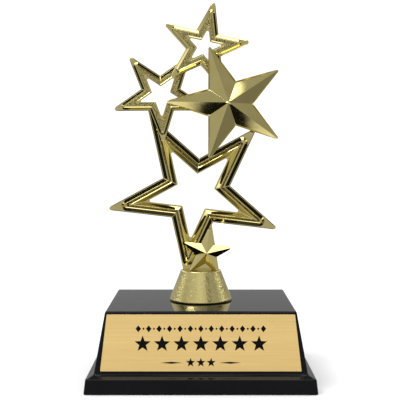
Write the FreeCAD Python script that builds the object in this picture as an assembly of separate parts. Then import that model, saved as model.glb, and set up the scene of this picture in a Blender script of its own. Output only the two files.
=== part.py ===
"""Star trophy: a cluster of gold stars on a textured pedestal, bolted to a weighted black base.

Millimetres. The origin is on the table under the middle of the base. +Z is up, and the name plate
faces -Y. The five stars stand in planes square to Y, one layer in front of another, so a star is drawn
in X and Z and given its depth as a pair of Y values, the back first and the front (more negative) last.
"""

import FreeCAD, Part

import math
import os

# ---------------------------------------------------------------- driving dimensions

BASE_WIDTH = 127.0
BASE_DEPTH = 101.0
BASE_HEIGHT = 43.7
BASE_SETBACK = 10.8  # how far the top face stands in from the foot, on every side
FELT_PROUD = 0.4  # felt below the rim of the shell

PLINTH_HEIGHT = 8.1
PLINTH_DRAFT = 0.8
LEDGE_HEIGHT = 10.1  # where the plinth's sloping ledge meets the upper body
LEDGE_SETBACK = 5.0
SHELL_WALL = 2.6
TOP_WALL = 2.8
CORNER = 1.5
INNER_CORNER = 1.0
TOP_ROUND = 1.4
LEDGE_ROUND = 1.6
PLINTH_ROUND = 0.7
BOLT_TUBE_RADIUS = 7.0

PEDESTAL_FOOT_RADIUS = 18.8
PEDESTAL_TOP_RADIUS = 11.85
PEDESTAL_HEIGHT = 17.9
PEDESTAL_WALL = 2.0
PEDESTAL_ROUND = 0.8
PEDESTAL_TOP = BASE_HEIGHT + PEDESTAL_HEIGHT
TENON_HALF_WIDTH = 7.5
TENON_DEPTH = 3.6
TENON_CLEARANCE = 0.1

# A star's inradius is the distance from its centre to the lines of its edges. Turn is the
# direction of one point, in degrees from +X towards +Z. Squash flattens the star a little along
# one direction that all five share, as if the cluster had been drawn on a page and then pressed.
SQUASH_DIRECTION = math.radians(78)
LARGE_STAR = {"centre": (-3.2, 107.4), "inradius": 16.9, "turn": 47.5, "squash": 0.963}
LEFT_STAR = {"centre": (-23.1, 164.2), "inradius": 9.8, "turn": 55.3, "squash": 0.919}
TOP_STAR = {"centre": (2.1, 191.7), "inradius": 8.75, "turn": 6.0, "squash": 1.0}
FACET_STAR = {"centre": (15.8, 159.2), "inradius": 11.55, "turn": 35.2, "squash": 0.936}
SMALL_STAR = {"centre": (3.4, 72.2), "inradius": 5.07, "turn": 11.5, "squash": 1.0}

# Layers of the star cluster along Y.
LARGE_BACK = 1.8
LARGE_RIM = -1.2
LARGE_RIDGE = -3.3
OPEN_STAR_LAYER = 3.0
LEFT_RIDGE = LARGE_RIDGE - OPEN_STAR_LAYER
TOP_RIDGE = LEFT_RIDGE - OPEN_STAR_LAYER
FACET_BACK = TOP_RIDGE - 0.2

# The section of an open star. Widths go in from the outer edge: rim, bevel, ridge, channel, and on
# the hole's side ridge, bevel and rim. A tip is the radius that eases the points of an outline. Sink
# is the depth of the channel, and wall the width of its sloping side. The rim round the hole lies
# inner_drop behind the outer one.
LARGE_PROFILE = {
    "widths": (0.7, 1.9, 0.6, 1.5, 0.6, 1.8, 0.6),
    "tip": 1.2,
    "bevel_tip": 3.4,
    "ridge_tip": 1.5,
    "floor_tip": 0.9,
    "inner_tip": 0.4,
    "hole_tip": 0.9,
    "sink": 0.5,
    "wall": 0.42,
    "inner_drop": 0.5,
}
SMALL_PROFILE = {
    "widths": (0.7, 1.1, 0.5, 2.4, 0.6, 0.0, 0.0),
    "tip": 1.2,
    "bevel_tip": 2.0,
    "ridge_tip": 0.9,
    "floor_tip": 0.5,
    "inner_tip": 0.8,
    "hole_tip": 0.8,
    "sink": 0.36,
    "wall": 0.3,
}
SMALL_BEVEL_RISE = 1.3
RIM_CHAMFER = 0.35
CREST_DROP = 0.16  # the ridges are crowned: their edges lie this far behind their crests
CREST_STEP = 0.18
NOTCH_RADIUS = 0.5

FACET_EDGE = 1.2  # height of the upright edge round the faceted star
FACET_RISE = 8.0  # height of its apex above that edge
FACET_SKIN = 1.5
FACET_TIP = 0.85
FACET_NOTCH = 0.3
COVER_SEAT = 1.2  # width of the rim round the back cover
COVER_THICKNESS = 1.0
COVER_TIP = 0.6
COVER_CLEARANCE = 0.1
SMALL_EDGE = 2.4
SMALL_RISE = 4.6
SMALL_TIP = 1.0
SMALL_STAR_LIFT = 0.05  # its two lower points are cut off this far above the pedestal

PEG_RADIUS = 0.9
PEG_CLEARANCE = 0.05
PEG_LENGTH = 2.0
PEG_ROOT = 0.4  # how far a peg runs into the star that carries it
SOCKET_SPARE = 0.15  # how much deeper a socket is than its peg
BOSS_RADIUS = 2.0
LUG_RADIUS = 2.6
STANDOFF_RADIUS = 1.6

BOLT_RADIUS = 2.5
BOLT_CLEARANCE = 0.25
THREAD_CLEARANCE = 0.03
BOLT_END_CHAMFER = 0.5
HEAD_HEIGHT = 3.5
HEAD_CROWN = 2.6  # height over which the head's corners are turned down to a cone
BOSS_FOOT = 16.0  # height of the face that the bolt's washers press on
ACCESS_RADIUS = 10.0  # spanner hole through the bottom board and the felt
NUT_ACROSS_FLATS = 8.0
NUT_HEIGHT = 4.0
NUT_SEAT = BASE_HEIGHT + 5.5
NUT_BOSS_RADIUS = 7.0
NUT_POCKET_GAP = 0.02
FLAT_WASHER = (BOLT_RADIUS + 0.2, 7.5, 1.2)  # hole radius, outer radius, thickness
LOCK_WASHER = (BOLT_RADIUS + 0.1, 4.4, 1.3)
LOCK_WASHER_GAP = 0.7
LOCK_WASHER_SLANT = 25  # degrees

FELT_THICKNESS = 1.6
FELT_SETBACK = 2.0
BOARD_THICKNESS = 2.5
BOARD_SETBACK = 1.7
REBATE_SETBACK = 1.6
BOARD_TOP = FELT_THICKNESS + BOARD_THICKNESS
CAVITY_ROOF = BASE_HEIGHT - TOP_WALL
PLINTH_WALL = 3.2
BALLAST_GAP = 0.1  # cement shrinks away from the shell a little as it sets
BALLAST_FOOT = BOARD_TOP + 0.3
WELL_SPARE = 1.5  # how far the ballast's well runs past the face that the washers press on
PLATE_THICKNESS = 0.5
PLATE_CORNER = 0.4
TAPE_THICKNESS = 0.15
PLATE_TOP_WIDTH = 103.2
PLATE_FOOT_WIDTH = 109.7
PLATE_HEIGHT = 30.7
PLATE_TOP_MARGIN = 1.65  # along the slope, from the top of the face to the plate

POINT_ANGLE = math.radians(18)  # half the angle of a star's point
STEP = math.radians(36)
FAR = 60.0  # longer than any part of the figure is thick or any stem is wide
PAST = 1.0  # how far a cutting solid runs past the face that it opens


def vec(x, y, z):
    return FreeCAD.Vector(x, y, z)


# ---------------------------------------------------------------- star outlines

def rounded_wire(corners, radii):
    """A closed wire of straight edges through corners, each corner eased by an arc of its radius."""
    edges = []
    exits = []
    count = len(corners)
    for i, corner in enumerate(corners):
        back = (corners[i - 1] - corner).normalize()
        ahead = (corners[(i + 1) % count] - corner).normalize()
        half = back.getAngle(ahead) / 2
        middle = (back + ahead).normalize()
        start = corner + back * (radii[i] / math.tan(half))
        finish = corner + ahead * (radii[i] / math.tan(half))
        crown = corner + middle * (radii[i] / math.sin(half) - radii[i])
        exits.append((start, crown, finish))
    for i, (start, crown, finish) in enumerate(exits):
        edges.append(Part.Arc(start, crown, finish).toShape())
        edges.append(Part.LineSegment(finish, exits[(i + 1) % count][0]).toShape())
    return Part.Wire(edges)


def star_spot(star, radius, angle):
    """The (x, z) at a radius and an angle in radians from a star's centre, squashed as the star is."""
    along = star["squash"] * radius * math.cos(angle - SQUASH_DIRECTION)
    across = radius * math.sin(angle - SQUASH_DIRECTION)
    x = along * math.cos(SQUASH_DIRECTION) - across * math.sin(SQUASH_DIRECTION)
    z = along * math.sin(SQUASH_DIRECTION) + across * math.cos(SQUASH_DIRECTION)
    return star["centre"][0] + x, star["centre"][1] + z


def star_corners(star, y, inset=0.0):
    """The ten sharp corners of a star's outline, moved inwards by inset."""
    inradius = star["inradius"] - inset
    reach = inradius / math.sin(POINT_ANGLE)
    notch = inradius / math.cos(STEP)
    corners = []
    for i in range(10):
        angle = math.radians(star["turn"]) + i * STEP
        x, z = star_spot(star, reach if i % 2 == 0 else notch, angle)
        corners.append(vec(x, y, z))
    return corners


def star_wire(star, y, inset, point_radius, notch_radius=NOTCH_RADIUS):
    radii = [point_radius, notch_radius] * 5
    return rounded_wire(star_corners(star, y, inset), radii)


def star_prism(star, inset, point_radius, back, front, notch_radius=NOTCH_RADIUS):
    wire = star_wire(star, back, inset, point_radius, notch_radius)
    return Part.Face(wire).extrude(vec(0, front - back, 0))


def star_steps(star, *outlines):
    """A solid with straight slopes between outlines, each (y, inset, point radius), back to front."""
    steps = []
    for pair in zip(outlines, outlines[1:]):
        wires = [star_wire(star, y, inset, radius) for y, inset, radius in pair]
        steps.append(Part.makeLoft(wires, True, True))
    return steps[0].fuse(steps[1:]) if len(steps) > 1 else steps[0]


def place_along(star, distance, angle=None):
    """The (x, z) of a spot on the middle line of a star's point, distance from the centre."""
    return star_spot(star, distance, math.radians(star["turn"] if angle is None else angle))


def pin(spot, radius, back, front):
    """A round solid along Y at spot, (x, z), from back to front."""
    return Part.makeCylinder(radius, back - front, vec(spot[0], back, spot[1]), vec(0, -1, 0))


# ---------------------------------------------------------------- where the stars join

LEFT_ON_LARGE = ((-22.7, 141.6), (-24.4, 146.5))
TOP_ON_LEFT = (
    place_along(LEFT_STAR, 17.4),
    place_along(LEFT_STAR, 21.4),
)
FACET_ON_LEFT = place_along(LEFT_STAR, 24.4, LEFT_STAR["turn"] - 72)
FACET_ON_TOP = place_along(TOP_STAR, 21.5, TOP_STAR["turn"] - 72)
FACET_ON_LARGE = (31.3, 146.2)  # a hidden lug beyond the large star's upper right point
SMALL_ON_STEM = (
    place_along(SMALL_STAR, 3.0, 0),
    place_along(SMALL_STAR, 3.0, 180),
)

ARM_END_START = 24.0  # along the left edge of the large star's upper left point, from its notch
ARM_END_TUCK = 0.6  # how far that edge runs on behind the left star
STEM_TOP_MIDDLE = 26.2  # from the large star's centre, down its lowest point
STEM_TOP_LEFT = 12.0  # from the notch on the left, along the edge of that point
STEM_TOP_RIGHT = (6.4, 89.0)
STEM_FOOT_RIGHT = (10.7, PEDESTAL_TOP)


def cut_sockets(body, spots, front):
    """Blind round sockets for the pegs of the star in front, and a little deeper than the pegs."""
    for spot in spots:
        floor = front + PEG_LENGTH + SOCKET_SPARE
        socket = pin(spot, PEG_RADIUS + PEG_CLEARANCE, floor, front - FAR)
        body = body.cut(socket)
    return body


def add_pegs(body, spots, back):
    for spot in spots:
        body = body.fuse(pin(spot, PEG_RADIUS, back + PEG_LENGTH, back - PEG_ROOT))
    return body


# ---------------------------------------------------------------- open stars

def open_star(star, back, rim, ridge, profile):
    """A star-shaped frame of the section that profile gives, with its hole.

    A flat rim, a bevel up to a crowned ridge, a sunk channel, and the same again on the hole's side.
    A width of zero leaves that step out.
    """
    rim_w, bevel_w, ridge_w, channel_w, inner_ridge_w, inner_bevel_w, inner_rim_w = profile["widths"]
    tip, inner_tip, hole_tip = profile["tip"], profile["inner_tip"], profile["hole_tip"]
    crest = ridge + CREST_DROP
    plate = star_steps(
        star,
        (back, RIM_CHAMFER, tip),
        (back - RIM_CHAMFER, 0.0, tip),
        (rim + RIM_CHAMFER, 0.0, tip),
        (rim, RIM_CHAMFER, tip),
    )
    bead_foot = star_prism(star, rim_w, profile["bevel_tip"], back - RIM_CHAMFER, rim)
    bead = star_steps(
        star,
        (rim, rim_w, profile["bevel_tip"]),
        (crest, rim_w + bevel_w, profile["ridge_tip"]),
        (ridge, rim_w + bevel_w + CREST_STEP, profile["ridge_tip"]),
    )
    body = plate.fuse([bead_foot, bead])

    channel_start = rim_w + bevel_w + ridge_w
    channel_end = channel_start + channel_w
    floor = ridge + profile["sink"]
    wall = profile["wall"]
    channel = star_steps(
        star,
        (floor, channel_start + wall, profile["floor_tip"] - wall / 2),
        (crest, channel_start, profile["floor_tip"]),
        (ridge, channel_start - CREST_STEP, profile["floor_tip"]),
    )
    island = star_steps(
        star,
        (floor, channel_end - wall, inner_tip),
        (crest, channel_end, inner_tip),
        (ridge, channel_end + CREST_STEP, inner_tip),
    )
    body = body.cut(channel.cut(island))
    inner_edge = channel_end + inner_ridge_w
    inner_crown = (crest, inner_edge, inner_tip), (ridge, inner_edge - CREST_STEP, inner_tip)
    if inner_bevel_w:
        inner_rim = (rim + profile["inner_drop"], inner_edge + inner_bevel_w, inner_tip)
        body = body.cut(star_steps(star, inner_rim, *inner_crown))
    else:
        body = body.cut(star_steps(star, *inner_crown))
    whole = inner_edge + inner_bevel_w + inner_rim_w
    hole = star_prism(star, whole, hole_tip, back + PAST, ridge - PAST)
    return body.cut(hole)


def arm_end():
    """The left edge of the large star's upper left point, carried on to behind the left star."""
    rim_w, bevel_w = LARGE_PROFILE["widths"][:2]
    section = (
        (LARGE_BACK, RIM_CHAMFER),
        (LARGE_BACK - RIM_CHAMFER, 0.0),
        (LARGE_RIM + RIM_CHAMFER, 0.0),
        (LARGE_RIM, RIM_CHAMFER),
        (LARGE_RIM, rim_w),
        (LARGE_RIDGE + CREST_DROP, rim_w + bevel_w),
        (LARGE_BACK, rim_w + bevel_w),
    )
    point, notch = star_corners(LARGE_STAR, LARGE_BACK)[2:4]
    run = (point - notch).normalize()
    start = run * ARM_END_START
    top = star_corners(LEFT_STAR, LARGE_BACK)[5].z + ARM_END_TUCK
    length = (top - notch.z) / run.z - ARM_END_START
    corners = [star_corners(LARGE_STAR, y, inset)[3] + start for y, inset in section]
    return Part.Face(Part.makePolygon(corners + corners[:1])).extrude(run * length)


def large_open_star():
    """The big frame, with the flat stem that carries it and the tenon that stands in the pedestal."""
    frame = open_star(LARGE_STAR, LARGE_BACK, LARGE_RIM, LARGE_RIDGE, LARGE_PROFILE)
    down = LARGE_STAR["turn"] - 144
    corners = star_corners(LARGE_STAR, LARGE_BACK)
    left_notch, point, right_notch = corners[5], corners[6], corners[7]
    along = (point - left_notch).normalize()
    foot_left = left_notch + along * ((left_notch.z - PEDESTAL_TOP) / -along.z)
    start = place_along(LARGE_STAR, STEM_TOP_MIDDLE, down)
    outline = [
        vec(start[0], LARGE_BACK, start[1]),
        left_notch + along * STEM_TOP_LEFT,
        foot_left,
        vec(STEM_FOOT_RIGHT[0], LARGE_BACK, PEDESTAL_TOP),
        vec(STEM_TOP_RIGHT[0], LARGE_BACK, STEM_TOP_RIGHT[1]),
    ]
    stem = Part.Face(Part.makePolygon(outline + [outline[0]]))
    stem = stem.extrude(vec(0, LARGE_RIM - LARGE_BACK, 0))
    inside = sum(LARGE_PROFILE["widths"][:-2])
    hole = star_prism(
        LARGE_STAR, inside, LARGE_PROFILE["inner_tip"], LARGE_BACK + PAST, LARGE_RIDGE - PAST
    )
    stem = stem.cut(hole)
    below = Part.makeBox(FAR, FAR, FAR, vec(-FAR / 2, -FAR / 2, PEDESTAL_TOP - FAR))
    body = frame.cut(below).fuse([stem, arm_end()])
    tenon = Part.makeBox(
        2 * TENON_HALF_WIDTH,
        LARGE_BACK - LARGE_RIM,
        TENON_DEPTH,
        vec(-TENON_HALF_WIDTH, LARGE_RIM, PEDESTAL_TOP - TENON_DEPTH),
    )
    lug = pin(FACET_ON_LARGE, LUG_RADIUS, LARGE_BACK, LARGE_RIM)
    body = body.fuse([tenon, lug])
    body = cut_sockets(body, LEFT_ON_LARGE, LARGE_RIDGE)
    return cut_sockets(body, SMALL_ON_STEM + (FACET_ON_LARGE,), LARGE_RIM).removeSplitter()


def small_frame(star, back, ridge):
    return open_star(star, back, ridge + SMALL_BEVEL_RISE, ridge, SMALL_PROFILE)


def left_open_star():
    body = small_frame(LEFT_STAR, LARGE_RIDGE, LEFT_RIDGE)
    body = add_pegs(body, LEFT_ON_LARGE, LARGE_RIDGE)
    return cut_sockets(body, TOP_ON_LEFT + (FACET_ON_LEFT,), LEFT_RIDGE).removeSplitter()


def top_open_star():
    body = small_frame(TOP_STAR, LEFT_RIDGE, TOP_RIDGE)
    body = add_pegs(body, TOP_ON_LEFT, LEFT_RIDGE)
    return cut_sockets(body, (FACET_ON_TOP,), TOP_RIDGE).removeSplitter()


# ---------------------------------------------------------------- faceted stars

def star_pyramid(star, inset, foot, apex):
    """Ten flat facets that rise from a star's outline, at y = foot, to one point over its centre."""
    corners = star_corners(star, foot, inset)
    top = vec(star["centre"][0], apex, star["centre"][1])
    faces = [Part.Face(Part.makePolygon(corners + [corners[0]]))]
    for i, corner in enumerate(corners):
        following = corners[(i + 1) % len(corners)]
        faces.append(Part.Face(Part.makePolygon([corner, following, top, corner])))
    solid = Part.Solid(Part.Shell(faces))
    return solid if solid.Volume > 0 else solid.reversed()


def solid_facets(star, back, edge, rise, tip):
    """A faceted star with an upright edge and rounded points."""
    front = back - edge
    body = star_prism(star, 0.0, tip, back, front, FACET_NOTCH)
    trim = star_prism(star, 0.0, tip, front + 0.001, front - rise - PAST, FACET_NOTCH)
    return body.fuse(star_pyramid(star, 0.0, front, front - rise).common(trim))


def large_faceted_star():
    """A thin faceted shell, open behind, with three bosses that reach back to the open stars."""
    outer = solid_facets(FACET_STAR, FACET_BACK, FACET_EDGE, FACET_RISE, FACET_TIP)
    slope = math.atan2(FACET_RISE, FACET_STAR["inradius"])
    inner_inset = FACET_SKIN / math.sin(slope)
    inner_apex = FACET_BACK - FACET_EDGE - FACET_RISE + FACET_SKIN / math.cos(slope)
    seat = star_prism(FACET_STAR, COVER_SEAT, COVER_TIP, FACET_BACK, FACET_BACK - COVER_THICKNESS)
    hollow_foot = star_prism(
        FACET_STAR, inner_inset, NOTCH_RADIUS, FACET_BACK - COVER_THICKNESS, FACET_BACK - FACET_EDGE
    )
    hollow = star_pyramid(FACET_STAR, inner_inset, FACET_BACK - FACET_EDGE, inner_apex)
    shell = outer.cut(seat).cut(hollow_foot).cut(hollow)
    for spot, landing in facet_bosses():
        inside = pin(spot, BOSS_RADIUS, FACET_BACK, FACET_BACK - FAR).common(outer)
        outside = pin(spot, BOSS_RADIUS, landing, FACET_BACK)
        peg = pin(spot, PEG_RADIUS, landing + PEG_LENGTH, landing - PEG_ROOT)
        shell = shell.fuse([inside, outside, peg])
    return shell.removeSplitter()


def facet_bosses():
    return (
        (FACET_ON_LEFT, LEFT_RIDGE),
        (FACET_ON_TOP, TOP_RIDGE),
        (FACET_ON_LARGE, LARGE_RIM),
    )


def faceted_star_cover():
    """The flat back of the faceted star, a loose fit in its seat and round the bosses."""
    front = FACET_BACK - COVER_THICKNESS + COVER_CLEARANCE / 2
    cover = star_prism(FACET_STAR, COVER_SEAT + COVER_CLEARANCE, COVER_TIP, FACET_BACK, front)
    for spot, _ in facet_bosses():
        cover = cover.cut(pin(spot, BOSS_RADIUS + COVER_CLEARANCE, FACET_BACK + PAST, front - PAST))
    return cover


def small_faceted_star():
    """A solid faceted star, pegged to the stem, its two lower points cut flat on the pedestal."""
    body = solid_facets(SMALL_STAR, LARGE_RIDGE, SMALL_EDGE, SMALL_RISE, SMALL_TIP)
    for spot in SMALL_ON_STEM:
        body = body.fuse(pin(spot, STANDOFF_RADIUS, LARGE_RIM, LARGE_RIDGE))
    body = add_pegs(body, SMALL_ON_STEM, LARGE_RIM)
    foot = PEDESTAL_TOP + SMALL_STAR_LIFT
    below = Part.makeBox(FAR, FAR, FAR, vec(-FAR / 2, -FAR / 2, foot - FAR))
    return body.cut(below).removeSplitter()


# ---------------------------------------------------------------- pedestal and bolt

def cylinder(radius, low, high):
    return Part.makeCylinder(radius, high - low, vec(0, 0, low))


def hexagon(across_flats, low, high):
    radius = across_flats / math.sqrt(3)
    corners = [
        vec(radius * math.cos(i * math.pi / 3), radius * math.sin(i * math.pi / 3), low)
        for i in range(7)
    ]
    return Part.Face(Part.makePolygon(corners)).extrude(vec(0, 0, high - low))


def pedestal():
    """A hollow cone with a slot for the stem's tenon and a boss that is moulded round the nut."""
    outer = Part.makeCone(
        PEDESTAL_FOOT_RADIUS, PEDESTAL_TOP_RADIUS, PEDESTAL_HEIGHT, vec(0, 0, BASE_HEIGHT)
    )
    rings = [e for e in outer.Edges if isinstance(e.Curve, Part.Circle)]
    outer = outer.makeFillet(PEDESTAL_ROUND, rings)
    roof = PEDESTAL_TOP - TENON_DEPTH - PEDESTAL_WALL
    share = (roof - BASE_HEIGHT) / PEDESTAL_HEIGHT
    roof_radius = PEDESTAL_FOOT_RADIUS + share * (PEDESTAL_TOP_RADIUS - PEDESTAL_FOOT_RADIUS)
    hollow = Part.makeCone(
        PEDESTAL_FOOT_RADIUS - PEDESTAL_WALL,
        roof_radius - PEDESTAL_WALL,
        roof - BASE_HEIGHT,
        vec(0, 0, BASE_HEIGHT),
    )
    body = outer.cut(hollow).fuse(cylinder(NUT_BOSS_RADIUS, BASE_HEIGHT, roof + PEDESTAL_WALL / 4))
    slot = Part.makeBox(
        2 * (TENON_HALF_WIDTH + TENON_CLEARANCE),
        LARGE_BACK - LARGE_RIM + 2 * TENON_CLEARANCE,
        TENON_DEPTH + PAST,
        vec(
            -TENON_HALF_WIDTH - TENON_CLEARANCE,
            LARGE_RIM - TENON_CLEARANCE,
            PEDESTAL_TOP - TENON_DEPTH - TENON_CLEARANCE,
        ),
    )
    nut_top = NUT_SEAT + NUT_HEIGHT
    pocket = hexagon(
        NUT_ACROSS_FLATS + 2 * NUT_POCKET_GAP, NUT_SEAT - NUT_POCKET_GAP, nut_top + NUT_POCKET_GAP
    )
    bore = cylinder(BOLT_RADIUS + BOLT_CLEARANCE, BASE_HEIGHT - PAST, nut_top + PAST / 2)
    return body.cut([slot, pocket, bore]).removeSplitter()


def captive_nut():
    nut_top = NUT_SEAT + NUT_HEIGHT
    bore = cylinder(BOLT_RADIUS + THREAD_CLEARANCE, NUT_SEAT - PAST, nut_top + PAST)
    return hexagon(NUT_ACROSS_FLATS, NUT_SEAT, nut_top).cut(bore)


def washer(sizes, low):
    hole, radius, thickness = sizes
    high = low + thickness
    return cylinder(radius, low, high).cut(cylinder(hole, low - PAST, high + PAST))


def flat_washer():
    return washer(FLAT_WASHER, BOSS_FOOT - FLAT_WASHER[2])


def lock_washer():
    """A split spring washer, its gap cut on a slant."""
    low = BOSS_FOOT - FLAT_WASHER[2] - LOCK_WASHER[2]
    ring = washer(LOCK_WASHER, low)
    _, radius, thickness = LOCK_WASHER
    gap = Part.makeBox(
        radius + PAST, LOCK_WASHER_GAP, 3 * thickness, vec(0, -LOCK_WASHER_GAP / 2, low - thickness)
    )
    gap.rotate(vec(0, 0, low + thickness / 2), vec(1, 0, 0), LOCK_WASHER_SLANT)
    return ring.cut(gap)


def figure_bolt():
    """A hexagon-head bolt from under the base into the pedestal's nut."""
    head_top = BOSS_FOOT - FLAT_WASHER[2] - LOCK_WASHER[2]
    head_foot = head_top - HEAD_HEIGHT
    head = hexagon(NUT_ACROSS_FLATS, head_foot, head_top)
    flat = NUT_ACROSS_FLATS / 2 - 0.2
    cone = Part.makeCone(flat, flat + HEAD_CROWN, HEAD_CROWN, vec(0, 0, head_foot))
    crown = cone.fuse(cylinder(NUT_ACROSS_FLATS, head_foot + HEAD_CROWN, head_top))
    shank = cylinder(BOLT_RADIUS, head_top, NUT_SEAT + NUT_HEIGHT)
    end = [e for e in shank.Edges if e.CenterOfMass.z > NUT_SEAT]
    shank = shank.makeChamfer(BOLT_END_CHAMFER, end)
    return head.common(crown).fuse(shank).removeSplitter()


# ---------------------------------------------------------------- base

def box_wire(half_width, half_depth, z, radius):
    corners = [
        vec(-half_width, -half_depth, z),
        vec(half_width, -half_depth, z),
        vec(half_width, half_depth, z),
        vec(-half_width, half_depth, z),
    ]
    return rounded_wire(corners, [radius] * 4)


def tapered_block(setback_low, z_low, setback_high, z_high, radius):
    """A block between two rectangles, each given by how far it stands in from the base's foot."""
    wires = [
        box_wire(BASE_WIDTH / 2 - setback, BASE_DEPTH / 2 - setback, z, radius)
        for setback, z in ((setback_low, z_low), (setback_high, z_high))
    ]
    return Part.makeLoft(wires, True, True)


def ring_edges(body, z):
    """The edges of body that lie level at height z."""
    level = []
    for edge in body.Edges:
        box = edge.BoundBox
        if abs(box.ZMin - z) < 1e-4 and abs(box.ZMax - z) < 1e-4:
            level.append(edge)
    return level


def body_setback(z):
    """How far the sloping side of the upper body stands in from the foot at height z."""
    share = (z - LEDGE_HEIGHT) / (BASE_HEIGHT - LEDGE_HEIGHT)
    return LEDGE_SETBACK + share * (BASE_SETBACK - LEDGE_SETBACK)


def cavity_setback(z):
    """How far the inside of the shell stands in from the foot at height z."""
    low = LEDGE_SETBACK + SHELL_WALL
    high = body_setback(CAVITY_ROOF) + SHELL_WALL
    return low + (z - BOARD_TOP) / (CAVITY_ROOF - BOARD_TOP) * (high - low)


def base_shell():
    """The moulded shell: plinth, sloping ledge and tapered body, hollow, with a tube for the bolt."""
    plinth = tapered_block(0.0, FELT_PROUD, PLINTH_DRAFT, PLINTH_HEIGHT, CORNER)
    ledge = tapered_block(PLINTH_DRAFT, PLINTH_HEIGHT, LEDGE_SETBACK, LEDGE_HEIGHT, CORNER)
    upper = tapered_block(LEDGE_SETBACK, LEDGE_HEIGHT, BASE_SETBACK, BASE_HEIGHT, CORNER)
    body = plinth.fuse([ledge, upper]).removeSplitter()
    body = body.makeFillet(TOP_ROUND, ring_edges(body, BASE_HEIGHT))
    body = body.makeFillet(LEDGE_ROUND, ring_edges(body, LEDGE_HEIGHT))
    body = body.makeFillet(PLINTH_ROUND, ring_edges(body, PLINTH_HEIGHT))

    rebate = tapered_block(REBATE_SETBACK, FELT_PROUD - PAST, REBATE_SETBACK, BOARD_TOP, INNER_CORNER)
    low_cavity = tapered_block(
        PLINTH_WALL, BOARD_TOP - PAST, PLINTH_WALL + 0.2, PLINTH_HEIGHT - 1.4, INNER_CORNER
    )
    cavity = tapered_block(
        cavity_setback(BOARD_TOP), BOARD_TOP, cavity_setback(CAVITY_ROOF), CAVITY_ROOF, INNER_CORNER
    )
    body = body.cut([rebate, low_cavity, cavity])
    tube = cylinder(BOLT_TUBE_RADIUS, BOSS_FOOT, CAVITY_ROOF + PAST)
    bore = cylinder(BOLT_RADIUS + BOLT_CLEARANCE, BOSS_FOOT - PAST, BASE_HEIGHT + PAST)
    return body.fuse(tube).cut(bore).removeSplitter()


def ballast_block():
    """Cement cast in the upturned shell, round the bolt tube, with a well for the bolt's head."""
    roof = CAVITY_ROOF - BALLAST_GAP
    low = cavity_setback(BALLAST_FOOT) + BALLAST_GAP
    high = cavity_setback(roof) + BALLAST_GAP
    block = tapered_block(low, BALLAST_FOOT, high, roof, INNER_CORNER)
    well = cylinder(ACCESS_RADIUS, BALLAST_FOOT - PAST, BOSS_FOOT + WELL_SPARE)
    tube = cylinder(BOLT_TUBE_RADIUS + BALLAST_GAP, BALLAST_FOOT - PAST, roof + PAST)
    return block.cut([well, tube])


def bottom_sheet(setback, low, high):
    """A flat rectangle inside the shell's rim, with the spanner hole."""
    sheet = tapered_block(setback, low, setback, high, INNER_CORNER)
    return sheet.cut(cylinder(ACCESS_RADIUS, low - PAST, high + PAST))


def bottom_board():
    return bottom_sheet(BOARD_SETBACK, FELT_THICKNESS, BOARD_TOP)


def felt_pad():
    return bottom_sheet(FELT_SETBACK, 0.0, FELT_THICKNESS)


def on_front_face(sheet_low, sheet_high):
    """A sheet the shape of the name plate, lying on the sloping front face of the base."""
    rise = BASE_HEIGHT - LEDGE_HEIGHT
    run = BASE_SETBACK - LEDGE_SETBACK
    lean = math.degrees(math.atan2(run, rise))
    outline = [
        vec(-PLATE_FOOT_WIDTH / 2, 0, -PLATE_TOP_MARGIN - PLATE_HEIGHT),
        vec(PLATE_FOOT_WIDTH / 2, 0, -PLATE_TOP_MARGIN - PLATE_HEIGHT),
        vec(PLATE_TOP_WIDTH / 2, 0, -PLATE_TOP_MARGIN),
        vec(-PLATE_TOP_WIDTH / 2, 0, -PLATE_TOP_MARGIN),
    ]
    wire = rounded_wire(outline, [PLATE_CORNER] * 4)
    sheet = Part.Face(wire).extrude(vec(0, sheet_low - sheet_high, 0))
    sheet.translate(vec(0, -sheet_low, 0))
    sheet.rotate(vec(0, 0, 0), vec(1, 0, 0), -lean)
    sheet.translate(vec(0, -(BASE_DEPTH / 2 - BASE_SETBACK), BASE_HEIGHT))
    return sheet


def plate_tape():
    return on_front_face(0.0, TAPE_THICKNESS)


def name_plate():
    return on_front_face(TAPE_THICKNESS, TAPE_THICKNESS + PLATE_THICKNESS)


# ---------------------------------------------------------------- the assembly

PARTS = {
    "base_shell": base_shell,
    "ballast_block": ballast_block,
    "bottom_board": bottom_board,
    "felt_pad": felt_pad,
    "name_plate": name_plate,
    "plate_tape": plate_tape,
    "pedestal": pedestal,
    "captive_nut": captive_nut,
    "figure_bolt": figure_bolt,
    "flat_washer": flat_washer,
    "lock_washer": lock_washer,
    "large_open_star": large_open_star,
    "left_open_star": left_open_star,
    "top_open_star": top_open_star,
    "large_faceted_star": large_faceted_star,
    "faceted_star_cover": faceted_star_cover,
    "small_faceted_star": small_faceted_star,
}

os.makedirs("parts", exist_ok=True)
for name, make in PARTS.items():
    shape = make()
    print(name, "valid" if shape.isValid() else "NOT VALID", len(shape.Solids), round(shape.Volume, 1))
    shape.exportStep(os.path.join("parts", name + ".step"))
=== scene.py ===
"""Looks of the star trophy: mirror-gold stars, a hammered cone, a piano-black base and a brushed plate.

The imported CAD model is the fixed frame. Lengths here are in metres, and small ones are written as a
number of millimetres times MM. +Z is up and the name plate faces -Y.
"""

import math

import bmesh
import bpy
import numpy as np
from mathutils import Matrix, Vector, noise
from mathutils.geometry import delaunay_2d_cdt


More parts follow.
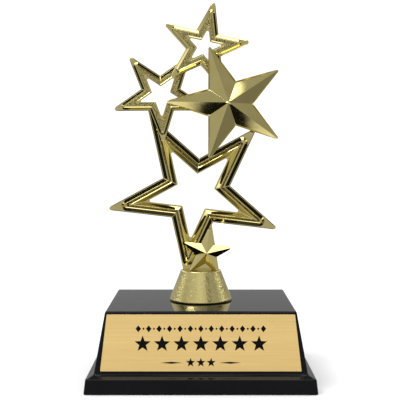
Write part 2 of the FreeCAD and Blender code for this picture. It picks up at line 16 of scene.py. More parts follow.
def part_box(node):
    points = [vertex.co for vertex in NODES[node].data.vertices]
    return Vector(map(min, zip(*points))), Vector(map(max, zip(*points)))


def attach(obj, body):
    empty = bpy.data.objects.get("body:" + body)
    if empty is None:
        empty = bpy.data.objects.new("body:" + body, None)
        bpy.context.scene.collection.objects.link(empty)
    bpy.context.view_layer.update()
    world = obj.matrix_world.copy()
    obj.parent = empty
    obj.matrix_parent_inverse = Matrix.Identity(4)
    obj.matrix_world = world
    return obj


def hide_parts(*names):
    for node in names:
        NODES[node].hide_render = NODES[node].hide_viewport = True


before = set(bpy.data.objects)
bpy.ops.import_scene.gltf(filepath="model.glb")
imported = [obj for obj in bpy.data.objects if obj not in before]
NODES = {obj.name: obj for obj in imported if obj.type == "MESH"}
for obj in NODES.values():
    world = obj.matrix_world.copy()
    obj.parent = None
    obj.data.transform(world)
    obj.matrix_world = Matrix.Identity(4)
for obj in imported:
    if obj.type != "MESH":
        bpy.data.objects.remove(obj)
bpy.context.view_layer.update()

MM = 0.001


# ---------------------------------------------------------------- material helpers

def new_material(name):
    """A material with an empty node tree but for its output; returns (material, Nodes)."""
    material = bpy.data.materials.new(name)
    material.use_nodes = True
    return material, Nodes(material.node_tree)


class Nodes:
    """Short calls for building a shader's node tree."""

    def __init__(self, tree):
        self.tree = tree
        tree.nodes.clear()

    def add(self, kind, **settings):
        node = self.tree.nodes.new(kind)
        for key, value in settings.items():
            setattr(node, key, value)
        return node

    def put(self, socket, value):
        """Links value to socket if it is another node's socket, and otherwise stores it there."""
        if isinstance(value, bpy.types.NodeSocket):
            self.tree.links.new(value, socket)
        else:
            socket.default_value = value

    def coordinates(self, scale=(1, 1, 1)):
        """Object coordinates, in metres, stretched by scale."""
        where = self.add("ShaderNodeTexCoord").outputs["Object"]
        mapping = self.add("ShaderNodeMapping")
        self.put(mapping.inputs["Vector"], where)
        mapping.inputs["Scale"].default_value = scale
        return mapping.outputs["Vector"]

    def noise(self, vector, scale, detail, roughness=0.5):
        """Cloudy noise; scale is in waves per metre."""
        node = self.add("ShaderNodeTexNoise")
        self.put(node.inputs["Vector"], vector)
        node.inputs["Scale"].default_value = scale
        node.inputs["Detail"].default_value = detail
        node.inputs["Roughness"].default_value = roughness
        return node.outputs["Fac"]

    def cells(self, vector, scale):
        """The distance from the middle of the nearest cell, in cells; scale is in cells per metre."""
        node = self.add("ShaderNodeTexVoronoi")
        self.put(node.inputs["Vector"], vector)
        node.inputs["Scale"].default_value = scale
        return node.outputs["Distance"]

    def ramp(self, factor, stops):
        """A colour ramp; stops are (position, value or colour)."""
        node = self.add("ShaderNodeValToRGB")
        self.put(node.inputs["Fac"], factor)
        elements = node.color_ramp.elements
        for _ in range(len(stops) - 2):
            elements.new(0.5)
        for element, (position, colour) in zip(elements, stops):
            element.position = position
            element.color = rgba(colour)
        return node.outputs["Color"]

    def remap(self, value, low, high, from_low, from_high):
        """Takes value from the range (from_low, from_high) to (low, high), and no further."""
        node = self.add("ShaderNodeMapRange")
        self.put(node.inputs["Value"], value)
        node.inputs["From Min"].default_value = from_low
        node.inputs["From Max"].default_value = from_high
        node.inputs["To Min"].default_value = low
        node.inputs["To Max"].default_value = high
        return node.outputs["Result"]

    def math(self, operation, a, b):
        node = self.add("ShaderNodeMath", operation=operation)
        self.put(node.inputs[0], a)
        self.put(node.inputs[1], b)
        return node.outputs[0]

    def times(self, a, b):
        return self.math("MULTIPLY", a, b)

    def less(self, a, b):
        """a with the share b taken away."""
        return self.times(a, self.math("SUBTRACT", 1.0, b))

    def bump(self, height, distance, normal=None):
        node = self.add("ShaderNodeBump")
        self.put(node.inputs["Height"], height)
        node.inputs["Distance"].default_value = distance
        node.inputs["Strength"].default_value = 1.0
        if normal is not None:
            self.put(node.inputs["Normal"], normal)
        return node.outputs["Normal"]

    def surface(self, **inputs):
        """The Principled shader; a name's underscores stand for spaces."""
        shader = self.add("ShaderNodeBsdfPrincipled")
        for name, value in inputs.items():
            self.put(shader.inputs[name.replace("_", " ")], value)
        output = self.add("ShaderNodeOutputMaterial")
        self.put(output.inputs["Surface"], shader.outputs["BSDF"])


def rgba(colour):
    if isinstance(colour, (int, float)):
        return (colour, colour, colour, 1.0)
    return (*colour, 1.0)


# ---------------------------------------------------------------- materials

GOLD_LIGHT = (0.70, 0.61, 0.27)
GOLD_DEEP = (0.62, 0.53, 0.21)
GRAIN_SHADOW = (0.03, 0.022, 0.009)
GLOSS_BLACK = ((0.002, 0.002, 0.0023), (0.004, 0.004, 0.0044))
GLOSS_TINT = (0.93, 0.95, 1.0, 1.0)
PLATE_YELLOW = ((0.82, 0.57, 0.21), (0.96, 0.69, 0.28))
ENGRAVED_BLACK = ((0.002, 0.002, 0.002), (0.006, 0.006, 0.006))
FELT_BLACK = ((0.004, 0.004, 0.005), (0.03, 0.03, 0.033))


def gold(name, roughness, ripple):
    """Vacuum-plated pale gold. ripple is the height of the moulding's faint waves, in metres."""
    material, n = new_material(name)
    where = n.coordinates()
    tint = n.ramp(n.noise(where, scale=55, detail=4.0), ((0.3, GOLD_DEEP), (0.7, GOLD_LIGHT)))
    smudges = n.noise(where, scale=260, detail=5.0, roughness=0.65)
    dulled = n.remap(smudges, roughness * 0.7, roughness * 1.5, 0.3, 0.7)
    normal = n.bump(n.noise(where, scale=90, detail=2.0), ripple)
    n.surface(Base_Color=tint, Metallic=1.0, Roughness=dulled, Normal=normal)
    return material


def stippled_gold(name, open_share):
    """The same plating on a sandy texture: gold on the grains and painted shade, nearly black, between
    them.

    open_share is how far from a grain's middle, in cells, the gold gives way to the painted shade.
    """
    material, n = new_material(name)
    grains = n.cells(n.coordinates(), scale=2400)
    # painted shade: the colour turns from gold to GRAIN_SHADOW away from each grain's middle
    colour = n.ramp(grains, ((open_share * 0.55, GOLD_DEEP), (open_share, GRAIN_SHADOW)))
    normal = n.bump(n.math("SUBTRACT", 1.0, grains), 0.12 * MM)
    n.surface(Base_Color=colour, Metallic=1.0, Roughness=0.16, Normal=normal)
    return material


def piano_black():
    """Polished black plastic: a faint orange peel, fine dust and rubbed patches in the gloss."""
    material, n = new_material("piano_black")
    where = n.coordinates()
    dark, light = GLOSS_BLACK
    colour = n.ramp(n.noise(where, scale=30, detail=5.0), ((0.35, dark), (0.75, light)))
    rubs = n.noise(where, scale=70, detail=6.0, roughness=0.6)
    rubbed = n.remap(rubs, 0.035, 0.11, 0.35, 0.75)
    peel = n.bump(n.noise(where, scale=420, detail=2.0), 0.004 * MM)
    n.surface(Base_Color=colour, Roughness=rubbed, Normal=peel, IOR=1.26, Specular_Tint=GLOSS_TINT)
    return material


def brushed_plate():
    """Lacquered yellow metal with a fine horizontal grain."""
    material, n = new_material("brushed_plate")
    grain = n.noise(n.coordinates((30, 2600, 2600)), scale=1.0, detail=5.0, roughness=0.7)
    streaks = n.noise(n.coordinates((9, 600, 600)), scale=1.0, detail=3.0, roughness=0.6)
    mixed = n.math("ADD", n.times(grain, 0.75), n.times(streaks, 0.25))
    dark, light = PLATE_YELLOW
    colour = n.ramp(mixed, ((0.3, dark), (0.7, light)))
    rough = n.remap(mixed, 0.26, 0.40, 0.3, 0.7)
    normal = n.bump(grain, 0.006 * MM)
    n.surface(Base_Color=colour, Metallic=0.6, Roughness=rough, Normal=normal, Anisotropic=0.6)
    return material


def engraving_black():
    """The matt black that fills the engraving."""
    material, n = new_material("engraving_black")
    dark, light = ENGRAVED_BLACK
    colour = n.ramp(n.noise(n.coordinates(), scale=900, detail=3.0), ((0.3, dark), (0.7, light)))
    n.surface(Base_Color=colour, Roughness=0.6, Specular_IOR_Level=0.05)
    return material


def black_felt():
    """Pressed felt: matted fibres in two sizes and a soft sheen."""
    material, n = new_material("black_felt")
    where = n.coordinates()
    fibres = n.noise(where, scale=2600, detail=6.0, roughness=0.75)
    clumps = n.noise(where, scale=320, detail=4.0, roughness=0.6)
    dark, light = FELT_BLACK
    colour = n.ramp(n.times(fibres, clumps), ((0.12, dark), (0.42, light)))
    normal = n.bump(fibres, 0.12 * MM, normal=n.bump(clumps, 0.2 * MM))
    n.surface(Base_Color=colour, Roughness=0.95, Normal=normal, Sheen_Weight=0.4, Sheen_Roughness=0.4)
    return material


def plain(name, dark, light, scale, roughness, height, metallic=0.0):
    """A mottled surface between two colours, with a bump of the same pattern."""
    material, n = new_material(name)
    pattern = n.noise(n.coordinates(), scale, detail=6.0, roughness=0.65)
    colour = n.ramp(pattern, ((0.3, dark), (0.7, light)))
    rough = n.remap(pattern, roughness * 0.8, roughness * 1.2, 0.3, 0.7)
    n.surface(Base_Color=colour, Metallic=metallic, Roughness=rough, Normal=n.bump(pattern, height))
    return material


FIGURE_GOLD = gold("figure_gold", 0.045, 0.02 * MM)
STIPPLED_GOLD = stippled_gold("stippled_gold", 0.75)
# more painted shade between the grains, for the large star's narrow channel
DEEP_SHADE_STIPPLE = stippled_gold("deep_shade_stipple", 0.42)
HAMMERED_GOLD = gold("hammered_gold", 0.22, 0.01 * MM)
PIANO_BLACK = piano_black()
BRUSHED_PLATE = brushed_plate()
ENGRAVING_BLACK = engraving_black()
BLACK_FELT = black_felt()
CEMENT = plain("cement", (0.40, 0.39, 0.37), (0.56, 0.55, 0.52), 240, 0.85, 0.25 * MM)
FIBREBOARD = plain("fibreboard", (0.20, 0.13, 0.07), (0.33, 0.23, 0.14), 700, 0.8, 0.05 * MM)
TAPE = plain("tape", (0.72, 0.72, 0.68), (0.84, 0.84, 0.80), 400, 0.5, 0.01 * MM)
ZINC = plain("zinc", (0.52, 0.54, 0.56), (0.70, 0.71, 0.72), 500, 0.28, 0.01 * MM, metallic=1.0)

CAD_FINISHES = {
    "base_shell": PIANO_BLACK,
    "ballast_block": CEMENT,
    "bottom_board": FIBREBOARD,
    "plate_tape": TAPE,
    "captive_nut": ZINC,
    "figure_bolt": ZINC,
    "flat_washer": ZINC,
    "lock_washer": ZINC,
    "faceted_star_cover": FIGURE_GOLD,
}
for node_name, finish in CAD_FINISHES.items():
    slots = NODES[node_name].data.materials
    slots.clear()
    slots.append(finish)


# ---------------------------------------------------------------- mesh helpers

def piece_from(mesh_data, name, material, replaced=None):
    """Writes a bmesh to a new piece that rides on the one body, and frees the bmesh."""
    mesh = bpy.data.meshes.new(name)
    mesh_data.to_mesh(mesh)
    mesh_data.free()
    mesh.materials.append(material)
    piece = bpy.data.objects.new(name, mesh)
    bpy.context.scene.collection.objects.link(piece)
    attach(piece, "root")
    if replaced:
        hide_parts(replaced)
    return piece


WELD_DISTANCE = 0.002 * MM
FLAT_ANGLE = math.radians(0.4)


def welded(node):
    """The CAD node's surface with its corners joined and its flat areas merged into single faces."""
    mesh_data = bmesh.new()
    mesh_data.from_mesh(NODES[node].data)
    bmesh.ops.remove_doubles(mesh_data, verts=mesh_data.verts, dist=WELD_DISTANCE)
    bmesh.ops.dissolve_limit(
        mesh_data,
        angle_limit=FLAT_ANGLE,
        use_dissolve_boundaries=False,
        verts=mesh_data.verts,
        edges=mesh_data.edges,
    )
    return mesh_data


def eased(node, name, material, width, sharp=28):
    """A CAD node again, with its sharp edges eased by a small round so that they catch the light.

    width is the round's, and sharp the angle in degrees from which an edge counts as sharp.
    """
    mesh_data = welded(node)
    for face in mesh_data.faces:
        face.smooth = True
        face.material_index = 0
    piece = piece_from(mesh_data, name, material, node)
    bevel = piece.modifiers.new("eased_edges", "BEVEL")
    bevel.width = width
    bevel.segments = 2
    bevel.limit_method = "ANGLE"
    bevel.angle_limit = math.radians(sharp)
    bevel.use_clamp_overlap = True
    bevel.miter_outer = "MITER_ARC"
    weighted = piece.modifiers.new("flat_faces_shade_flat", "WEIGHTED_NORMAL")
    weighted.mode = "FACE_AREA"
    weighted.weight = 80
    return piece


FACET_GRID = 0.9 * MM
FACET_CUTS = 4


def is_facet(face):
    """Whether a face slants forward, as the facets do and the upright edge and the back don't."""
    return -0.95 < face.normal.y < -0.3


def hollowed(piece, depth):
    """Hollows the facets of a star slightly, as moulded ones are: steeper at the apex than at the tips.

    The facets are cut finely and pushed back, by as much as depth half way from the apex to the tips.
    """
    mesh_data = bmesh.new()
    mesh_data.from_mesh(piece.data)
    apex = min((v.co.copy() for v in mesh_data.verts), key=lambda p: p.y)
    reach = max(math.hypot(v.co.x - apex.x, v.co.z - apex.z) for v in mesh_data.verts)
    bmesh.ops.triangulate(mesh_data, faces=[f for f in mesh_data.faces if is_facet(f)])
    for _ in range(FACET_CUTS):
        facets = [f for f in mesh_data.faces if is_facet(f)]
        edges = list(dict.fromkeys(e for f in facets for e in f.edges if e.calc_length() > FACET_GRID))
        bmesh.ops.subdivide_edges(mesh_data, edges=edges, cuts=1, use_grid_fill=True)
        mesh_data.normal_update()
    inner = {v for f in mesh_data.faces if is_facet(f) for v in f.verts}
    rim = {v for f in mesh_data.faces if not is_facet(f) for v in f.verts}
    for vertex in inner - rim:
        share = math.hypot(vertex.co.x - apex.x, vertex.co.z - apex.z) / reach
        vertex.co.y += depth * math.sin(math.pi * min(1.0, share))
    for face in mesh_data.faces:
        face.smooth = True
    mesh_data.to_mesh(piece.data)
    mesh_data.free()


# ---------------------------------------------------------------- stippled channel floors

FLOOR_DEPTH = (0.25 * MM, 0.7 * MM)  # the floors lie this far behind the ridges, at least and at most
LEVEL_STEP = 0.02 * MM
KEY_STEP = 1e-6  # corners nearer than this in metres are one corner
GRAIN_CELL = 0.5 * MM
GRAIN_HEIGHT = 0.26 * MM
GRID = 0.16 * MM
GRID_JITTER = 0.3
GRID_MARGIN = 0.4
SHEET_LIFT = 0.01 * MM  # from the channel's floor to the sheet's lowest front spot
SHEET_DEPTH = 0.05 * MM  # from the floor to the sheet's back, inside the star
EDGE_FADE = 0.2 * MM
GRAIN_FLOOR = 0.15  # the share of the grains' height that is there everywhere


def floor_outline(node):
    """The channel floor of an open star: (y, boundary segments as an array of x, z pairs).

    The floor is the flat area that faces forward, lies behind the ridges and in front of the rim,
    and is found as the forward-facing level, between the two, with the largest area.
    """
    mesh = NODES[node].data
    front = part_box(node)[0].y
    levels = {}
    for polygon in mesh.polygons:
        depth = polygon.center.y - front
        if polygon.normal.y < -0.999 and FLOOR_DEPTH[0] < depth < FLOOR_DEPTH[1]:
            levels.setdefault(round(depth / LEVEL_STEP), []).append(polygon)
    faces = max(levels.values(), key=lambda group: sum(p.area for p in group))
    y = faces[0].center.y
    use = {}
    for polygon in faces:
        points = [mesh.vertices[i].co for i in polygon.vertices]
        keys = [(round(p.x / KEY_STEP), round(p.z / KEY_STEP)) for p in points]
        for a, b in zip(keys, keys[1:] + keys[:1]):
            pair = (min(a, b), max(a, b))
            use[pair] = use.get(pair, 0) + 1
    edges = [pair for pair, count in use.items() if count == 1]
    return y, np.array(edges, float) * KEY_STEP


def inside(points, edges):
    """Which points lie inside the closed outlines that edges make, by counting crossings."""
    result = np.zeros(len(points), bool)
    for (x1, z1), (x2, z2) in edges:
        if z1 == z2:
            continue
        spans = (z1 > points[:, 1]) != (z2 > points[:, 1])
        crossing = (x2 - x1) * (points[:, 1] - z1) / (z2 - z1) + x1
        result ^= spans & (points[:, 0] < crossing)
    return result


def clearance(points, edges):
    """The distance from each point to the nearest outline segment."""
    best = np.full(len(points), 1.0)
    for a, b in edges:
        along = b - a
        length = float(along @ along)
        if length == 0:
            continue
        t = np.clip(((points - a) @ along) / length, 0, 1)
        gap = np.linalg.norm(points - (a + t[:, None] * along), axis=1)
        best = np.minimum(best, gap)
    return best


def pebble(x, z):
    """The height of the stipple, from 0 to 1: rounded grains of uneven size."""
    spot = Vector((x, 0.0, z)) / GRAIN_CELL
    distances, _ = noise.voronoi(spot)
    grain = max(0.0, 1.0 - 1.5 * distances[0])
    return 0.75 * grain + 0.25 * (0.5 + 0.5 * noise.noise(spot * 2.3))


def stippled_floor(node, name, material, seed):
    """A thin closed sheet of grains that lies in an open star's channel."""
    y, edges = floor_outline(node)
    low, high = edges.reshape(-1, 2).min(0), edges.reshape(-1, 2).max(0)
    xs, zs = np.meshgrid(np.arange(low[0], high[0], GRID), np.arange(low[1], high[1], GRID))
    random = np.random.default_rng(seed)
    points = np.column_stack([xs.ravel(), zs.ravel()])
    points += random.uniform(-GRID_JITTER, GRID_JITTER, points.shape) * GRID
    points = points[inside(points, edges)]
    points = points[clearance(points, edges) > GRID_MARGIN * GRID]

    outline = sorted({tuple(p) for edge in edges for p in edge})
    index = {p: i for i, p in enumerate(outline)}
    coordinates = [Vector(p) for p in outline] + [Vector(p) for p in points]
    links = [(index[tuple(a)], index[tuple(b)]) for a, b in edges]
    verts, _, triangles, *_ = delaunay_2d_cdt(coordinates, links, [], 1, 1e-7)
    flat = np.array([tuple(v) for v in verts])
    triangles = np.array([t for t in triangles if len(t) == 3])
    triangles = triangles[inside(flat[triangles].mean(axis=1), edges)]

    margin = clearance(flat, edges)
    mesh_data = bmesh.new()
    tops, bottoms = [], []
    for (x, z), gap in zip(flat, margin):
        share = GRAIN_FLOOR + (1 - GRAIN_FLOOR) * pebble(x, z)
        rise = min(1.0, gap / EDGE_FADE) * share * GRAIN_HEIGHT
        tops.append(mesh_data.verts.new((x, y - SHEET_LIFT - rise, z)))
        bottoms.append(mesh_data.verts.new((x, y + SHEET_DEPTH, z)))
    sides = {}  # the directed sides of all triangles, in order
    for a, b, c in triangles:
        (ax, az), (bx, bz), (cx, cz) = flat[a], flat[b], flat[c]
        if (bx - ax) * (cz - az) < (bz - az) * (cx - ax):
            b, c = c, b
        mesh_data.faces.new((tops[a], tops[b], tops[c])).smooth = True
        mesh_data.faces.new((bottoms[a], bottoms[c], bottoms[b]))
        sides.update({(a, b): True, (b, c): True, (c, a): True})
    for a, b in sides:
        if (b, a) not in sides:
            mesh_data.faces.new((tops[b], tops[a], bottoms[a], bottoms[b]))
    loose = [v for v in mesh_data.verts if not v.link_faces]
    bmesh.ops.delete(mesh_data, geom=loose, context="VERTS")
    bmesh.ops.recalc_face_normals(mesh_data, faces=mesh_data.faces)
    return piece_from(mesh_data, name, material)


# ---------------------------------------------------------------- hammered pedestal

AROUND = 460
SIDE_ROWS = 84
RIM_ROUND = 0.8 * MM
RIM_ROWS = 6
RIM_SLICE = 0.3 * MM  # the cone is measured within this height of the end of each round
RIM_TEXTURE = 0.15  # the texture's strength where the foot's round meets the side
FADE_SHARE = 14  # the texture fades in over 1/14 of the side at each end
DENT_DEPTH = 0.085 * MM
DENT_LEVEL = 0.6
FINE_DENTS = 0.55 * MM
COARSE_DENTS = 1.3 * MM
QUARTER_TURN = math.radians(90)


def radius_at(node, z, reach):
    """The largest radius of a node's surface within reach of height z."""
    near = [v.co for v in NODES[node].data.vertices if abs(v.co.z - z) < reach]
    return max(math.hypot(p.x, p.y) for p in near)


def hammer(point):
    """The height of the pedestal's leather-like texture, from about -1 to 1."""
    fine = noise.noise(point / FINE_DENTS)
    coarse = noise.noise(point / COARSE_DENTS + Vector((7, 3, 1)))
    return 0.55 * fine + 0.6 * coarse


def hammered_pedestal():
    """The cone as a turned surface: rounded rims, a dimpled side, and a flat polished top."""
    low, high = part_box("pedestal")
    foot = radius_at("pedestal", low.z + RIM_ROUND, RIM_SLICE)
    top = radius_at("pedestal", high.z - RIM_ROUND, RIM_SLICE)
    lean = math.atan2(foot - top, high.z - low.z)

    def on_round(centre, angle):
        """The (radius, height) of a spot on a rim's round, at an angle up from the horizontal."""
        return centre[0] + RIM_ROUND * math.cos(angle), centre[1] + RIM_ROUND * math.sin(angle)

    heel = (foot - RIM_ROUND, low.z + RIM_ROUND)
    crown = (top - RIM_ROUND, high.z - RIM_ROUND)
    start, end = on_round(heel, lean), on_round(crown, lean)
    profile = []  # (radius, height, texture strength)
    for i in range(RIM_ROWS + 1):
        share = i / RIM_ROWS
        angle = share * (QUARTER_TURN + lean) - QUARTER_TURN
        profile.append((*on_round(heel, angle), RIM_TEXTURE * share))
    for i in range(1, SIDE_ROWS):
        share = i / SIDE_ROWS
        fade = min(1.0, share * FADE_SHARE, (1 - share) * FADE_SHARE)
        radius = start[0] + share * (end[0] - start[0])
        profile.append((radius, start[1] + share * (end[1] - start[1]), fade))
    for i in range(RIM_ROWS + 1):
        angle = lean + i / RIM_ROWS * (QUARTER_TURN - lean)
        profile.append((*on_round(crown, angle), 0.0))

    mesh_data = bmesh.new()
    rings = []
    for radius, z, texture in profile:
        ring = []
        for j in range(AROUND):
            angle = j / AROUND * 2 * math.pi
            away = Vector((math.cos(angle), math.sin(angle), 0))
            height = Vector((0, 0, z))
            dent = texture * DENT_DEPTH * (hammer(radius * away + height) - DENT_LEVEL)
            ring.append(mesh_data.verts.new((radius + dent) * away + height))
        rings.append(ring)
    for below, above in zip(rings, rings[1:]):
        for j in range(AROUND):
            k = (j + 1) % AROUND
            mesh_data.faces.new((below[j], below[k], above[k], above[j])).smooth = True
    mesh_data.faces.new(rings[-1])
    mesh_data.faces.new(list(reversed(rings[0])))
    bmesh.ops.recalc_face_normals(mesh_data, faces=mesh_data.faces)
    return piece_from(mesh_data, "hammered_pedestal", HAMMERED_GOLD, "pedestal")


# ---------------------------------------------------------------- name plate and its engraving

def plate_face():
    """The plane of the plate's front: (middle, up the slope, outward normal)."""
    mesh = NODES["name_plate"].data
    outward = max(mesh.polygons, key=lambda p: p.area * (p.normal.y < -0.5)).normal.copy()
    up = Vector((1, 0, 0)).cross(outward).normalized()
    if up.z < 0:
        up = -up
    front = max(v.co.dot(outward) for v in mesh.vertices)
    face = [v.co for v in mesh.vertices if abs(v.co.dot(outward) - front) < 0.01 * MM]
    heights = [p.dot(up) for p in face]
    return outward * front + up * (max(heights) + min(heights)) / 2, up, outward


# The engraving's layout. Levels are above the plate's middle, and pitches from one to the next.
ENGRAVING_DEPTH = 0.02 * MM
CHAIN_LEVEL, CHAIN_PITCH = 7.6 * MM, 2.85 * MM
LARGE_LINK, SMALL_LINK = 1.5 * MM, 0.6 * MM  # half a lozenge's width
LINK_SLIMNESS = 1.25  # a lozenge's height over its width
ROW_LEVEL, ROW_PITCH, ROW_REACH = -0.6 * MM, 10.6 * MM, 4.6 * MM
FOOT_LEVEL, FOOT_PITCH, FOOT_REACH = -10.6 * MM, 5.6 * MM, 2.6 * MM
RULE_LEVEL, RULE_MIDDLE = -10.7 * MM, 16 * MM
RULE_HALF_WIDTH, RULE_HALF_HEIGHT = 6 * MM, 0.55 * MM
NOTCH_SHARE = 0.42  # a star's notches, from its middle, over its points


def prism(mesh_data, outline, place):
    """A thin closed plate with the outline (x, up) in the plane that place gives."""
    middle, up, outward = place
    spots = [Vector((x, 0, 0)) + middle + up * u for x, u in outline]
    back = [mesh_data.verts.new(spot - outward * ENGRAVING_DEPTH) for spot in spots]
    front = [mesh_data.verts.new(spot + outward * ENGRAVING_DEPTH) for spot in spots]
    mesh_data.faces.new(front)
    mesh_data.faces.new(list(reversed(back)))
    count = len(outline)
    for i in range(count):
        j = (i + 1) % count
        mesh_data.faces.new((back[i], back[j], front[j], front[i]))


def star_outline(x, u, reach):
    """A five-pointed star with its middle at (x, u) and its points reach away from it."""
    points = []
    for i in range(10):
        angle = math.radians(90 + 36 * i)
        radius = reach if i % 2 == 0 else reach * NOTCH_SHARE
        points.append((x + radius * math.cos(angle), u + radius * math.sin(angle)))
    return points


def lozenge(x, u, half_width, half_height):
    return [(x - half_width, u), (x, u - half_height), (x + half_width, u), (x, u + half_height)]


def engraving():
    """A plain award ornament: a lozenge chain, a row of stars, and three small stars between rules."""
    mesh_data = bmesh.new()
    place = plate_face()
    for i in range(-12, 13):
        half = LARGE_LINK if i % 2 == 0 else SMALL_LINK
        prism(mesh_data, lozenge(i * CHAIN_PITCH, CHAIN_LEVEL, half, half * LINK_SLIMNESS), place)
    for i in range(-3, 4):
        prism(mesh_data, star_outline(i * ROW_PITCH, ROW_LEVEL, ROW_REACH), place)
    for i in (-1, 0, 1):
        prism(mesh_data, star_outline(i * FOOT_PITCH, FOOT_LEVEL, FOOT_REACH), place)
    for side in (-1, 1):
        rule = lozenge(side * RULE_MIDDLE, RULE_LEVEL, RULE_HALF_WIDTH, RULE_HALF_HEIGHT)
        prism(mesh_data, rule, place)
    bmesh.ops.recalc_face_normals(mesh_data, faces=mesh_data.faces)
    return piece_from(mesh_data, "plate_engraving", ENGRAVING_BLACK)


# ---------------------------------------------------------------- felt

FELT_GRID = 0.7 * MM
FELT_NAP = 0.09 * MM
FELT_SHRINK = 0.1 * MM  # keeps the nap's crests inside the CAD's faces


def felt_sheet():
    """The felt again, as pressed cloth: remeshed finely, its faces and edges softly uneven."""
    source = NODES["felt_pad"]
    piece = bpy.data.objects.new("felt_sheet", source.data.copy())
    bpy.context.scene.collection.objects.link(piece)
    remesh = piece.modifiers.new("even_grid", "REMESH")
    remesh.mode = "VOXEL"
    remesh.voxel_size = FELT_GRID
    remesh.use_smooth_shade = True
    evaluated = piece.evaluated_get(bpy.context.evaluated_depsgraph_get())
    mesh_data = bmesh.new()
    mesh_data.from_mesh(bpy.data.meshes.new_from_object(evaluated))
    bpy.data.objects.remove(piece)
    mesh_data.normal_update()
    low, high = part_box("felt_pad")
    for vertex in mesh_data.verts:
        nap = noise.noise(vertex.co / (2.2 * MM)) + 0.6 * noise.noise(vertex.co / (0.9 * MM))
        vertex.co += vertex.normal * (FELT_NAP * nap - FELT_SHRINK)
        vertex.co.z = min(max(vertex.co.z, low.z), high.z)
    for face in mesh_data.faces:
        face.smooth = True
    piece = piece_from(mesh_data, "felt_sheet", BLACK_FELT, "felt_pad")


# ---------------------------------------------------------------- build the pieces

eased("large_open_star", "large_star_frame", FIGURE_GOLD, width=0.24 * MM)
eased("left_open_star", "left_star_frame", FIGURE_GOLD, width=0.18 * MM)
eased("top_open_star", "top_star_frame", FIGURE_GOLD, width=0.18 * MM)
facets = eased(
    "large_faceted_star", "large_star_facets", FIGURE_GOLD, width=0.16 * MM, sharp=14
)
hollowed(facets, depth=0.9 * MM)
eased("small_faceted_star", "small_star_facets", FIGURE_GOLD, width=0.14 * MM, sharp=14)
eased("name_plate", "brushed_name_plate", BRUSHED_PLATE, width=0.08 * MM)
# the large star's floor takes the stipple with more painted shade
stippled_floor("large_open_star", "large_star_stipple", DEEP_SHADE_STIPPLE, seed=1)
stippled_floor("left_open_star", "left_star_stipple", STIPPLED_GOLD, seed=2)
stippled_floor("top_open_star", "top_star_stipple", STIPPLED_GOLD, seed=3)
hammered_pedestal()
engraving()
felt_sheet()


# ---------------------------------------------------------------- floor, light and camera

FLOOR_REACH = 6.0
FLOOR_WHITE = (0.96, 0.96, 0.96, 1)
DIRECT_LIGHT = 1.12


def studio_floor():
    """A wide pale floor under the trophy. Polished surfaces don't mirror it."""
    mesh_data = bmesh.new()
    signs = ((-1, -1), (1, -1), (1, 1), (-1, 1))
    mesh_data.faces.new([mesh_data.verts.new((i * FLOOR_REACH, j * FLOOR_REACH, 0)) for i, j in signs])
    mesh = bpy.data.meshes.new("studio_floor")
    mesh_data.to_mesh(mesh)
    mesh_data.free()
    floor = bpy.data.objects.new("studio_floor", mesh)
    bpy.context.scene.collection.objects.link(floor)
    material, n = new_material("pale_floor")
    n.surface(Base_Color=FLOOR_WHITE, Roughness=0.9, Specular_IOR_Level=0.0)
    mesh.materials.append(material)
    floor.visible_glossy = False


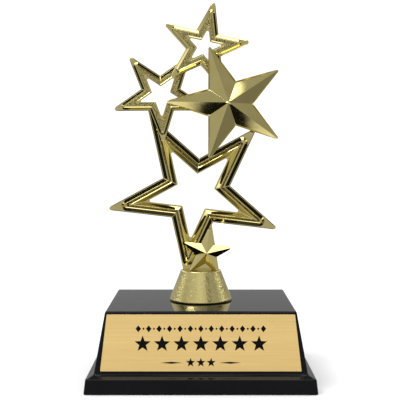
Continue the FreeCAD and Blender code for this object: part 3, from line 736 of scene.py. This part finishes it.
def mirrored_level(n):
    """How bright each direction looks in a polished surface.

    It is light in front and far behind, dark underneath and in a ring beside and just behind the
    trophy, and bright overhead. Ranges are of the direction's unit vector: +X right, +Y away, +Z up.
    """
    direction = n.add("ShaderNodeTexCoord").outputs["Generated"]
    axes = n.add("ShaderNodeSeparateXYZ")
    n.put(axes.inputs[0], direction)
    x, y, z = axes.outputs

    def rising(value, low, high, level=1.0):
        """0 below low and level above high."""
        return n.remap(value, 0.0, level, low, high)

    def falling(value, low, high):
        """1 below low and 0 above high."""
        return n.remap(value, 1.0, 0.0, low, high)

    def near(centre, inner, outer):
        """1 within the angle inner of a direction, falling to 0 at outer; both in degrees."""
        product = n.add("ShaderNodeVectorMath", operation="DOT_PRODUCT")
        n.put(product.inputs[0], direction)
        product.inputs[1].default_value = Vector(centre).normalized()
        cosines = math.cos(math.radians(outer)), math.cos(math.radians(inner))
        return rising(product.outputs["Value"], *cosines)

    def lit(level, screen):
        return n.math("MAXIMUM", level, screen)

    front_to_back = (
        (0.0, 0.55), (0.10, 0.60), (0.25, 0.56), (0.31, 0.47), (0.42, 0.46), (0.435, 0.68),
        (0.465, 0.68), (0.49, 0.012), (0.62, 0.01), (0.68, 0.40), (1.0, 0.44),
    )
    level = n.ramp(rising(y, -1.0, 1.0), front_to_back)
    level = n.times(level, n.remap(x, 1.15, 0.85, -1.0, 1.0))

    side_band = n.times(rising(z, 0.26, 0.34), falling(z, 0.56, 0.64))
    level = lit(level, n.times(side_band, rising(y, -0.08, 0.08, level=1.5)))
    front_screen = near((0, -0.75, 0.66), 17, 26)
    level = lit(level, n.times(front_screen, 0.9))
    gap_beside_screen = near((0.5, -0.6, 0.64), 5, 11)
    level = n.less(level, gap_beside_screen)
    shade_low_right = near((0.77, -0.35, -0.54), 6, 16)
    level = n.less(level, n.times(shade_low_right, 0.35))

    below = falling(z, -0.74, -0.62)
    level_below = n.remap(y, 1.3, 0.01, -0.365, -0.33)
    level = n.math("ADD", n.less(level, below), n.times(below, level_below))

    strip = n.times(rising(y, -0.28, -0.22), falling(y, -0.06, -0.02))
    strip = n.times(strip, falling(x, -0.40, -0.34))
    level = lit(level, n.times(strip, rising(z, 0.76, 0.82, level=4.0)))
    ceiling = n.times(rising(z, 0.945, 0.965, level=4.0), rising(y, -0.24, -0.18))
    return lit(level, ceiling)


def studio_light():
    """White all round to the eye and to rough surfaces, and screens and gaps to polished ones."""
    world = bpy.data.worlds.new("studio")
    bpy.context.scene.world = world
    world.use_nodes = True
    n = Nodes(world.node_tree)
    reflected = n.add("ShaderNodeBackground")
    n.put(reflected.inputs["Color"], mirrored_level(n))
    direct = n.add("ShaderNodeBackground")
    direct.inputs["Color"].default_value = (1, 1, 1, 1)
    direct.inputs["Strength"].default_value = DIRECT_LIGHT
    sight = n.add("ShaderNodeLightPath")
    mix = n.add("ShaderNodeMixShader")
    n.put(mix.inputs["Fac"], sight.outputs["Is Glossy Ray"])
    n.put(mix.inputs[1], direct.outputs[0])
    n.put(mix.inputs[2], reflected.outputs[0])
    output = n.add("ShaderNodeOutputWorld")
    n.put(output.inputs["Surface"], mix.outputs[0])


def soft_box(name, place, target, size, power):
    """A square light of the given size in metres and power in watts, aimed at target."""
    light = bpy.data.lights.new(name, "AREA")
    light.shape = "SQUARE"
    light.size = size
    light.energy = power
    lamp = bpy.data.objects.new(name, light)
    lamp.location = place
    lamp.rotation_euler = (Vector(target) - Vector(place)).to_track_quat("-Z", "Y").to_euler()
    bpy.context.scene.collection.objects.link(lamp)


CAMERA_PLACE = (-0.47 * MM, -516 * MM, 130 * MM)
CAMERA_TIP = math.radians(3.01)


def camera():
    """In front, a little above the large star's middle, and tipped 3 degrees down."""
    data = bpy.data.cameras.new("camera")
    data.sensor_width = 36
    data.lens = 78.75
    data.clip_start = 0.01
    view = bpy.data.objects.new("camera", data)
    view.location = CAMERA_PLACE
    view.rotation_euler = (QUARTER_TURN - CAMERA_TIP, 0, 0)
    bpy.context.scene.collection.objects.link(view)
    bpy.context.scene.camera = view


studio_floor()
studio_light()
soft_box("key_light", place=(-0.45, -0.35, 0.95), target=(0, 0, 0.1), size=0.35, power=3)
camera()

bpy.context.scene.view_settings.view_transform = "Standard"
